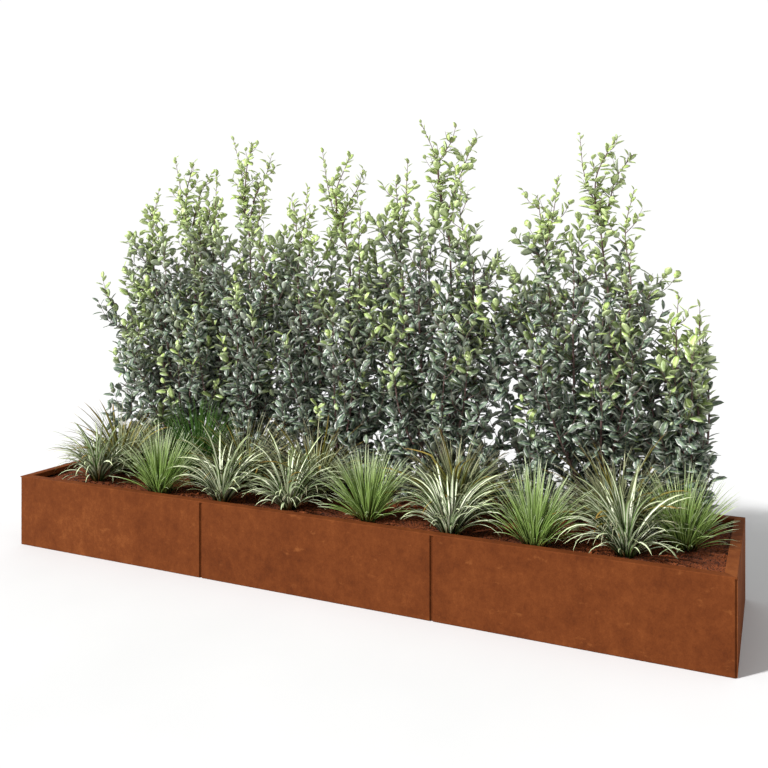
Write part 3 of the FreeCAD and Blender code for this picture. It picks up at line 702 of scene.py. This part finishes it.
# Shoots of a full-grown shrub. Each runs from foot to tip through (x, y, height) points:
# x and y in metres from the middle of the plant, heights as shares of its full height.
SHOOTS = (
    ((0.01, 0.00, 0.0), (0.05, 0.02, 0.25), (0.06, 0.00, 0.50), (0.05, -0.01, 0.68),
     (-0.01, 0.0, 0.80), (-0.04, 0.01, 0.90), (-0.09, 0.00, 1.00)),
    ((0.00, 0.00, 0.78), (0.01, -0.02, 0.88), (0.05, -0.03, 0.94), (0.095, -0.04, 0.982)),
    ((0.02, 0.01, 0.74), (0.07, 0.03, 0.83), (0.10, 0.04, 0.89), (0.155, 0.05, 0.947)),
    ((0.02, 0.00, 0.05), (0.12, -0.03, 0.35), (0.165, -0.04, 0.58), (0.14, -0.05, 0.74),
     (0.175, -0.06, 0.85)),
    ((-0.02, 0.00, 0.0), (-0.14, 0.00, 0.22), (-0.18, -0.02, 0.45), (-0.22, -0.02, 0.66),
     (-0.20, -0.03, 0.80), (-0.175, -0.04, 0.897)),
    ((-0.22, -0.02, 0.68), (-0.25, 0.01, 0.77), (-0.285, 0.02, 0.85)),
    ((-0.215, -0.02, 0.62), (-0.27, -0.06, 0.68), (-0.33, -0.08, 0.735)),
    ((0.09, 0.00, 0.33), (0.20, 0.02, 0.50), (0.25, 0.03, 0.58), (0.30, 0.04, 0.636)),
    ((-0.18, -0.01, 0.42), (-0.27, 0.03, 0.52), (-0.35, 0.05, 0.59), (-0.395, 0.05, 0.645)),
    ((-0.10, 0.00, 0.15), (-0.27, -0.02, 0.32), (-0.41, -0.04, 0.43), (-0.53, -0.05, 0.50)),
    ((-0.12, 0.02, 0.20), (-0.28, 0.06, 0.42), (-0.38, 0.09, 0.52), (-0.44, 0.10, 0.58)),
    ((0.02, -0.02, 0.05), (0.05, -0.12, 0.25), (0.07, -0.17, 0.42), (0.06, -0.18, 0.555)),
    ((0.04, -0.02, 0.08), (0.14, -0.12, 0.25), (0.19, -0.17, 0.40), (0.16, -0.19, 0.50)),
    ((-0.06, -0.02, 0.08), (-0.16, -0.12, 0.22), (-0.20, -0.18, 0.36), (-0.21, -0.19, 0.46)),
    ((-0.10, -0.01, 0.30), (-0.09, -0.07, 0.50), (-0.08, -0.10, 0.64), (-0.10, -0.12, 0.74)),
    ((0.00, 0.03, 0.05), (-0.08, 0.12, 0.30), (-0.12, 0.16, 0.55), (-0.10, 0.15, 0.78)),
    ((0.03, 0.03, 0.05), (0.10, 0.13, 0.30), (0.13, 0.17, 0.50), (0.10, 0.17, 0.70)),
    ((-0.04, 0.03, 0.06), (-0.20, 0.13, 0.28), (-0.30, 0.16, 0.45), (-0.31, 0.16, 0.60)),
    ((0.05, 0.02, 0.08), (0.20, 0.12, 0.26), (0.27, 0.15, 0.40), (0.30, 0.15, 0.50)),
)
SHOOT_SPREAD = 1.05  # the shoots' x places are scaled by this
FILL_DENSITY = 262  # short twigs per metre of hedge, low down
FILL_HEIGHT = 1.08  # their feet are up to this far above the soil, most of them low
TWIG_LENGTH = 0.20
TWIG_LEAN = 50.0  # degrees from the shoot
TWIGS_END = 0.90  # the last side twig's place along the shoot
TALL = 0.80  # shoots that end above this level have young, small leaves at the tip
WALL_DEPTH = 0.30  # from the stem line to the hedge's front
WALL_BACK = 0.062  # from the hedge's back to the box's outer face
WALL_EASE = 0.12  # twigs begin to turn this far from the hedge's sides
WALL_SLACK = 0.09  # the hedge's ends are ragged by this much
SHOOT_LEAF_GAP = 0.0205
TWIG_LEAF_GAP = 0.022
TWIG_TIP_LEAF = 0.68  # a twig's last leaf, as a share of the shrub's leaf
BARE_FOOT = 0.16  # shoots are bare below this level
STEM_ROOTED = 0.03


def reach_at(level):
    """How far side twigs reach at a level of the plant, from 1 low down to a third at the top."""
    return 0.34 + 0.66 * max(0.0, 1 - max(0.0, level - 0.55) / 0.42)


def side_twigs(rng, path, height, gap, low):
    """Side twigs off a path, each a short curve that turns upwards, with the level each starts at."""
    run = run_of(path)
    total = run[-1]
    tangent = unit(np.gradient(path, axis=0))
    turn = rng.uniform(0, 2 * math.pi)
    at = low * total
    while at < TWIGS_END * total:
        origin = read_at(at, run, path)
        ahead = unit(read_at(at, run, tangent))
        level = (origin[2] - SOIL_TOP) / height
        size = TWIG_LENGTH * reach_at(level) * rng.uniform(0.6, 1.2)
        outward = np.array([math.cos(turn), 0.8 * math.sin(turn), 0.0])
        angle = math.radians(TWIG_LEAN + rng.normal(0, 8))
        first = ahead * math.cos(angle) + outward * math.sin(angle)
        middle = origin + first * size * 0.5
        tip = middle + unit(0.55 * first + np.array([0, 0, 0.6]) + rng.normal(0, 0.1, 3)) * size * 0.5
        yield smooth_path([origin, middle, tip], 7), level
        turn += GOLDEN_TURN + rng.normal(0, 0.3)
        at += gap * rng.uniform(0.7, 1.3)


def clear_of_walls(rng, path, low, high):
    """Points held inside a box in plan: they turn softly near its sides, and its ends are ragged."""
    for axis, slack in ((0, rng.uniform(0, WALL_SLACK)), (1, 0.0)):
        top = high[axis] - slack - WALL_EASE
        over = (path[:, axis] - top) / WALL_EASE
        path[:, axis] = np.where(over > 0, top + WALL_EASE * np.tanh(over), path[:, axis])
        bottom = low[axis] + slack + WALL_EASE
        under = (bottom - path[:, axis]) / WALL_EASE
        path[:, axis] = np.where(under > 0, bottom - WALL_EASE * np.tanh(under), path[:, axis])
    return path


def leaf_age(level, tip_age):
    """0 for mature leaves, up to half height, and towards 1 for young ones. tip_age makes a twig younger."""
    return np.clip((level - 0.52) / 0.24, 0, 1) * 0.9 + tip_age


def twig_ages(rng, level):
    """First and last leaf's age on a side twig, and its leaves' size. Few low twigs are new growth."""
    if rng.uniform() < 0.02 + 0.33 * np.clip((level - 0.18) / 0.15, 0, 1):
        return (0.52, 0.88), 0.95
    return (leaf_age(level, 0.0), leaf_age(level, rng.uniform(0.0, 0.3))), 1.0


def shrub(node, centre_x, fill, seed, shoots, leaf=0.078, twig_gap=0.066, end_margin=0.10,
          fill_height=FILL_HEIGHT):
    """A shrub of shoots, side twigs and leaves, in place of its node. fill is its stretch of the hedge."""
    rng = np.random.default_rng(seed)
    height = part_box(node)[1][2] - SOIL_TOP
    tip_height = height - 0.03  # the last leaves reach beyond the tip
    wall_low = (-HALF_LENGTH + end_margin, STEM_LINE - WALL_DEPTH)
    wall_high = (HALF_LENGTH - end_margin, HALF_WIDTH - WALL_BACK)
    wood, leaves = MeshParts(), Leaves()
    for points in shoots:
        jitter = rng.normal(0, 0.012, (len(points), 3)) * np.array([1, 1, 0])
        jitter[0] = 0
        world = [
            (centre_x + x * SHOOT_SPREAD + dx, STEM_LINE + y + dy, SOIL_TOP + z * tip_height)
            for (x, y, z), (dx, dy, _) in zip(points, jitter)
        ]
        if points[0][2] < 0.01:
            world[0] = (world[0][0], world[0][1], SOIL_TOP - STEM_ROOTED)
        path = clear_of_walls(rng, smooth_path(world, 26), wall_low, wall_high)
        foot_level, tip_level = points[0][2], points[-1][2]
        thick = 0.0035 + 0.008 * (tip_level - foot_level)
        tube(wood, path, thick, 0.0012)
        bare = max(0.0, (BARE_FOOT - foot_level) / (tip_level - foot_level))
        if tip_level > TALL:
            ages, tip_size, ageing = (leaf_age(0.5 * (foot_level + tip_level), 0.0), 1.0), 0.42, 1.5
        else:
            ages, tip_size, ageing = (0.0, 1.0), 0.80, 5.0
        leafy(leaves, rng, path, SHOOT_LEAF_GAP, (leaf, leaf * tip_size), ages, bare, ageing)
        for twig, level in side_twigs(rng, path, height, twig_gap, bare):
            twig = clear_of_walls(rng, twig, wall_low, wall_high)
            tube(wood, twig, 0.0022, 0.0008, 5)
            ages, size = twig_ages(rng, level)
            size *= 1 - 0.32 * np.clip((level - 0.60) / 0.40, 0, 1)
            sizes = (leaf * 0.95 * size, leaf * TWIG_TIP_LEAF * size)
            leafy(leaves, rng, twig, TWIG_LEAF_GAP, sizes, ages, 0.12)
    for _ in range(int(FILL_DENSITY * (fill[1] - fill[0]))):
        start = np.array([
            rng.uniform(*fill),
            STEM_LINE + 0.02 + rng.uniform(-0.10, 0.12),
            SOIL_TOP + 0.02 + fill_height * rng.uniform() ** 1.9,
        ])
        turn = rng.uniform(0, 2 * math.pi)
        reach = np.array([0.15 * math.cos(turn), 0.15 * math.sin(turn), 0.11]) * rng.uniform(0.7, 1.2)
        twig = smooth_path([start, start + reach * 0.55 - [0, 0, 0.02], start + reach + [0, 0, 0.05]], 8)
        twig = clear_of_walls(rng, twig, wall_low, wall_high)
        tube(wood, twig, 0.0028, 0.0008, 5)
        ages, size = twig_ages(rng, min(0.45, (start[2] - SOIL_TOP) / height))
        sizes = (leaf * size, leaf * TWIG_TIP_LEAF * size)
        leafy(leaves, rng, twig, TWIG_LEAF_GAP, sizes, ages, 0.1)
    crown = MeshParts()
    leaves.mesh(crown, rng)
    place_piece(crown.build(node + "_leaves", MATERIALS["shrub_leaf"]), "shrub_leaf", node)
    place_piece(wood.build(node + "_stems", MATERIALS["bark"]), "shrub_leaf")


# ==== soil and fleece ====
SOIL_INSET = 0.040  # the top layer ends under the rim, clear of the panels' flanges
SOIL_GRAIN = 0.0085  # the top layer's mesh width
SOIL_CRUST = 0.012  # the CAD soil is lowered by this, under the top layer
CRUST_DEPTH = 0.022  # the top layer's sides end this far under the surface
SOIL_ROUGHNESS = 0.0032
CLODS = 2600
FLEECE_END = 0.015  # the cloth ends short of its node, clear of the bolting flanges
FLEECE_SIDE = 0.055


def grid_quads(index):
    """Faces of a grid of numbered points."""
    return np.stack([index[:-1, :-1], index[1:, :-1], index[1:, 1:], index[:-1, 1:]], axis=-1).reshape(-1, 4)


def hills(x, y):
    """Gentle height of the soil surface at a point."""
    return (
        0.0040 * np.sin(3.1 * x + 1.3) * np.cos(5.2 * y)
        + 0.0028 * np.sin(9.7 * x + 4.0 * y)
        + 0.0018 * np.sin(23.0 * x - 17.0 * y)
    )


def soil_bed():
    """The node's own soil, lowered a little, under a crumbly top layer with loose clods."""
    rng = np.random.default_rng(77)
    under = bpy.data.objects.new("soil_bed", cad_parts["soil"].data.copy())
    bpy.context.collection.objects.link(under)
    flat = np.empty(len(under.data.vertices) * 3)
    under.data.vertices.foreach_get("co", flat)
    heights = flat.reshape(-1, 3)[:, 2]
    squeeze = (SOIL_TOP - SOIL_CRUST - SOIL_BASE) / (SOIL_TOP - SOIL_BASE)
    heights[:] = SOIL_BASE + (heights - SOIL_BASE) * squeeze
    under.data.vertices.foreach_set("co", flat)
    under.data.materials.clear()
    under.data.materials.append(MATERIALS["soil"])
    place_piece(under, "soil", "soil")

    edge_x, edge_y = HALF_LENGTH - SOIL_INSET, HALF_WIDTH - SOIL_INSET
    across, deep = int(2 * edge_x / SOIL_GRAIN), int(2 * edge_y / SOIL_GRAIN)
    xs, ys = np.linspace(-edge_x, edge_x, across), np.linspace(-edge_y, edge_y, deep)
    gx, gy = np.meshgrid(xs, ys, indexing="ij")
    rough = rng.normal(0, 1, gx.shape)
    rough = 0.5 * rough + 0.125 * sum(np.roll(rough, s, a) for s in (1, -1) for a in (0, 1))
    gz = SOIL_TOP - 0.003 + hills(gx, gy) + SOIL_ROUGHNESS * rough
    top = np.stack([gx, gy, gz], axis=-1).reshape(-1, 3)
    index = np.arange(across * deep).reshape(across, deep)
    rim = np.concatenate([index[:, 0], index[-1, 1:], index[-2::-1, -1], index[0, -2:0:-1]])
    foot = top[rim].copy()
    foot[:, 2] = SOIL_TOP - CRUST_DEPTH
    hub = foot.mean(axis=0, keepdims=True)
    base, around = len(top), np.arange(len(rim))
    after = np.roll(around, -1)
    parts = MeshParts()
    parts.add(np.concatenate([top, foot, hub]), grid_quads(index))
    parts.faces += [
        np.stack([rim, base + around, base + after, rim[after]], axis=-1),
        np.stack([base + around, np.full(len(rim), base + len(rim)), base + after], axis=-1),
    ]
    parts.uvs += [None, None]
    add_clods(parts, rng, (-edge_x, -edge_y), (edge_x, edge_y))
    place_piece(parts.build("soil_top", MATERIALS["soil"]), "soil")


OCTAHEDRON = np.array([[1, 0, 0], [-1, 0, 0], [0, 1, 0], [0, -1, 0], [0, 0, 1], [0, 0, -1]], dtype=float)
OCTAHEDRON_FACES = np.array([
    [0, 2, 4], [2, 1, 4], [1, 3, 4], [3, 0, 4], [2, 0, 5], [1, 2, 5], [3, 1, 5], [0, 3, 5],
])


def add_clods(parts, rng, low, high):
    """Loose clods: dented octahedra once divided, sunk a little into the soil."""
    points, faces = list(OCTAHEDRON), []
    cache = {}
    for a, b, c in OCTAHEDRON_FACES:
        mids = []
        for i, j in ((a, b), (b, c), (c, a)):
            key = (min(i, j), max(i, j))
            if key not in cache:
                cache[key] = len(points)
                points.append(unit(OCTAHEDRON[i] + OCTAHEDRON[j]))
            mids.append(cache[key])
        faces += [(a, mids[0], mids[2]), (b, mids[1], mids[0]), (c, mids[2], mids[1]), tuple(mids)]
    ball, faces = np.array(points), np.array(faces)
    x = rng.uniform(low[0] + 0.02, high[0] - 0.02, CLODS)
    y = rng.uniform(low[1] + 0.02, high[1] - 0.02, CLODS)
    size = 0.0025 + 0.0065 * rng.uniform(0, 1, CLODS) ** 3
    dents = 1 + rng.normal(0, 0.16, (CLODS, len(ball)))
    stretch = size[:, None] * rng.uniform(0.7, 1.2, (CLODS, 3))
    shape = ball[None] * dents[..., None] * stretch[:, None, :]
    centre = np.stack([x, y, SOIL_TOP - 0.004 + hills(x, y) + size * 0.4], axis=-1)
    clods = shape + centre[:, None, :]
    all_faces = (np.arange(CLODS) * len(ball))[:, None, None] + faces[None]
    parts.add(clods, all_faces.reshape(-1, 3))


def fleece_sheet():
    """The filter fleece laid on the drainage layer, one layer of cloth with a slight ripple."""
    low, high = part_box("filter_fleece")
    xs = np.linspace(low[0] + FLEECE_END, high[0] - FLEECE_END, 150)
    ys = np.linspace(low[1] + FLEECE_SIDE, high[1] - FLEECE_SIDE, 40)
    gx, gy = np.meshgrid(xs, ys, indexing="ij")
    gz = 0.5 * (low[2] + high[2]) + 0.0004 * np.sin(31 * gx) * np.cos(27 * gy)
    parts = MeshParts()
    parts.add(np.stack([gx, gy, gz], axis=-1), grid_quads(np.arange(gx.size).reshape(gx.shape)))
    sheet = parts.build("fleece_sheet", MATERIALS["fleece"])
    thick = sheet.modifiers.new("thickness", "SOLIDIFY")
    thick.thickness = 0.0012
    thick.offset = 0.0
    place_piece(sheet, "fleece", "filter_fleece")


# ==== stage ====
def stage():
    """Pale floor, soft sky and a softened sun from the left."""
    floor_parts = MeshParts()
    half = FLOOR_SIZE / 2
    corners = np.array([[-half, -half, 0], [half, -half, 0], [half, half, 0], [-half, half, 0]], dtype=float)
    floor_parts.add(corners, np.array([[0, 1, 2, 3]]))
    g = Graph("pale_floor")
    tone = g.ramp(g.noise(g.place(), 0.8, 3.0), ((0.3, grey(0.58)), (0.7, grey(0.61))))
    floor = floor_parts.build("floor", g.finish(tone, 0.9), False)
    floor.location.z = -FLOOR_GAP

    world = bpy.data.worlds.new("sky")
    bpy.context.scene.world = world
    world.use_nodes = True
    tree = world.node_tree
    background = tree.nodes["Background"]
    background.inputs["Strength"].default_value = SKY_STRENGTH
    split = tree.nodes.new("ShaderNodeSeparateXYZ")
    tree.links.new(tree.nodes.new("ShaderNodeTexCoord").outputs["Generated"], split.inputs[0])
    fade = tree.nodes.new("ShaderNodeMapRange")
    tree.links.new(split.outputs[2], fade.inputs["Value"])
    limits = {"From Min": SKY_FADE[0], "From Max": SKY_FADE[1], "To Min": 1.0, "To Max": SKY_OVERHEAD}
    for key, value in limits.items():
        fade.inputs[key].default_value = value
    tree.links.new(fade.outputs["Result"], background.inputs["Color"])

    lamp = bpy.data.lights.new("sun", "SUN")
    lamp.energy = SUN_STRENGTH
    lamp.angle = math.radians(SUN_SOFTNESS)
    sun = bpy.data.objects.new("sun", lamp)
    bpy.context.collection.objects.link(sun)
    direction = -unit(np.array(SUN_FROM))
    sun.rotation_euler = (
        math.acos(-direction[2]), 0.0, math.atan2(direction[1], direction[0]) - math.pi / 2,
    )
    scene = bpy.context.scene
    scene.view_settings.view_transform = "Standard"
    scene.view_settings.look = "None"


def camera():
    """Level camera at eye height, shifted down to take in the whole planter."""
    data = bpy.data.cameras.new("camera")
    data.sensor_width = 36.0
    data.lens = CAMERA_LENS
    data.shift_y = CAMERA_SHIFT
    view = bpy.data.objects.new("camera", data)
    view.location = CAMERA_PLACE
    view.rotation_euler = (math.radians(90), 0.0, math.radians(CAMERA_TURN))
    bpy.context.collection.objects.link(view)
    bpy.context.scene.camera = view


# ==== the whole ====
SHRUB_STATIONS = {  # shares of the half length
    "shrub_1": -0.642, "shrub_2": -0.418, "shrub_3": -0.095,
    "shrub_4": 0.230, "shrub_5": 0.653, "shrub_6": 0.882,
}
SHORT_SHOOTS = (  # of the low shrub at the right end
    ((0.00, 0.00, 0.0), (-0.02, 0.0, 0.4), (-0.05, -0.01, 0.75), (-0.05, -0.02, 1.0)),
    ((0.01, 0.00, 0.0), (0.06, 0.0, 0.4), (0.08, 0.0, 0.75), (0.09, -0.01, 0.95)),
    ((0.02, 0.00, 0.1), (0.08, -0.08, 0.45), (0.09, -0.12, 0.80)),
    ((0.02, 0.01, 0.1), (0.08, 0.08, 0.45), (0.08, 0.12, 0.82)),
    ((0.00, -0.01, 0.1), (-0.05, -0.10, 0.4), (-0.06, -0.14, 0.72)),
    ((-0.02, 0.01, 0.1), (-0.10, 0.08, 0.45), (-0.14, 0.10, 0.85)),
    ((-0.02, 0.00, 0.1), (-0.13, 0.00, 0.4), (-0.20, -0.02, 0.68)),
)

MATERIALS = {
    "steel": weathering_steel("weathering_steel", -0.024),
    "pale_steel": weathering_steel("weathering_steel_pale", 0.019),
    # the right end panel's steel is lifted paler: painted light on a face the sun does not reach
    "end_steel_painted_light": weathering_steel("weathering_steel_end_painted_light", 0.080),
    "inner": inner_steel_painted_shade(),
    "zinc": zinc(),
    "clay": expanded_clay(),
    "fleece": fleece_cloth(),
    "soil": soil_earth(),
    "bark": bark(),
    "shrub_leaf": shrub_leaf(),
    # the next-to-last colour of each blade material is its foot: painted shade at the base of the clump
    "striped": blade_leaf(
        "striped_leaf", srgb(238, 239, 214), srgb(80, 114, 42), srgb(200, 208, 156), 0.36, 0.88,
        srgb(190, 202, 142), srgb(26, 25, 12), 0.44),
    "green": blade_leaf(
        "green_leaf", srgb(160, 182, 106), srgb(104, 138, 56), srgb(156, 176, 112), 0.45, 0.90,
        srgb(226, 229, 204), srgb(24, 32, 13), 0.34),
    "dark_green": blade_leaf(
        "dark_green_leaf", srgb(72, 110, 42), srgb(52, 88, 34), srgb(70, 104, 44), 0.45, 0.90,
        srgb(104, 136, 64), srgb(30, 36, 18), 0.22),
    "fine_bronze": blade_leaf(
        "fine_bronze_leaf", srgb(178, 180, 140), srgb(90, 106, 60), srgb(184, 184, 150), 0.34, 0.80,
        srgb(198, 188, 162), srgb(70, 36, 20), 0.24),
    "broad_bronze": blade_leaf(
        "broad_bronze_leaf", srgb(146, 136, 68), srgb(98, 102, 44), srgb(162, 146, 88), 0.40, 0.84,
        srgb(164, 118, 56), srgb(92, 44, 22), 0.20),
}

STRIPED_LAYERS = (
    dict(count=56, length=(0.33, 0.47), lean=(2, 26), bend=(30, 115),
         half_width=0.0098, tint=(0, 4), wobble=0.15, kinked=0.05),
    dict(count=40, length=(0.25, 0.37), lean=(6, 42), bend=(25, 100),
         half_width=0.0080, tint=(0, 5), foot=0.04, wobble=0.15),
    dict(count=8, length=(0.24, 0.32), lean=(36, 54), bend=(20, 60),
         half_width=0.0066, tint=(0, 4), foot=0.04, kinked=0.15),
)
GREEN_LAYERS = (
    dict(count=165, length=(0.30, 0.44), lean=(2, 32), bend=(4, 34),
         half_width=0.0038, tint=(0, 7), foot=0.045, rings=8, belly=0.2, wobble=0.12),
    dict(count=80, length=(0.20, 0.34), lean=(12, 56), bend=(6, 45),
         half_width=0.0038, tint=(0, 4), foot=0.05, rings=8, belly=0.2, wobble=0.15),
)
DARK_LAYERS = (
    dict(count=230, length=(0.42, 0.58), lean=(2, 26), bend=(4, 30),
         half_width=0.0042, tint=(0, 5), foot=0.05, rings=8, belly=0.2, wobble=0.12),
)
FINE_BRONZE_LAYERS = (
    dict(count=250, length=(0.32, 0.51), lean=(4, 44), bend=(10, 75),
         half_width=0.0043, tint=(0, 7), foot=0.05),
)
BROAD_BRONZE_LAYERS = (
    dict(count=34, length=(0.42, 0.60), lean=(8, 42), bend=(25, 72),
         half_width=0.0104, tint=(0, 7), foot=0.04, kinked=0.12, wobble=0.3),
)

FITTINGS = {"seam": "zinc", "tie": "zinc", "corner": "zinc", "drainage": "clay"}  # by a name's first word
HEDGE_START, HEDGE_END = -0.92, 0.935  # shares of the half length

camera()
stage()

for name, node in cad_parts.items():
    kind = FITTINGS.get(name.split("_")[0], "inner")
    if "_panel_" in name:
        kind = "pale_steel" if name.endswith("_left") else "steel"
    # painted light: the right end panel takes the paler steel, as if it were lit
    if name == "end_panel_right":
        kind = "end_steel_painted_light"
    node.data.materials.clear()
    node.data.materials.append(MATERIALS[kind])

soil_bed()
fleece_sheet()
for number in range(1, 6):
    tuft(f"striped_sedge_{number}", "striped_leaf", MATERIALS["striped"], 100 + number, STRIPED_LAYERS)
    node = f"bronze_sedge_{number}"
    tuft(node, "bronze_leaf", MATERIALS["fine_bronze"], 300 + number, FINE_BRONZE_LAYERS)
    tuft(node, "bronze_leaf", MATERIALS["broad_bronze"], 350 + number, BROAD_BRONZE_LAYERS, "_broad_blades")
for number in range(1, 5):
    tuft(f"green_grass_{number}", "green_leaf", MATERIALS["green"], 200 + number, GREEN_LAYERS)
tuft("dark_grass", "green_leaf", MATERIALS["dark_green"], 400, DARK_LAYERS)
middles = [station * HALF_LENGTH for station in SHRUB_STATIONS.values()]
halfway = [0.5 * (a + b) for a, b in zip(middles, middles[1:])]
limits = [HEDGE_START * HALF_LENGTH, *halfway, HEDGE_END * HALF_LENGTH]
for number, node in enumerate(SHRUB_STATIONS):
    fill = limits[number:number + 2]
    if node == "shrub_6":
        shrub(node, middles[number], fill, 506, SHORT_SHOOTS, leaf=0.082, twig_gap=0.08, end_margin=0.13,
              fill_height=0.8)
    else:
        shrub(node, middles[number], fill, 501 + number, SHOOTS)
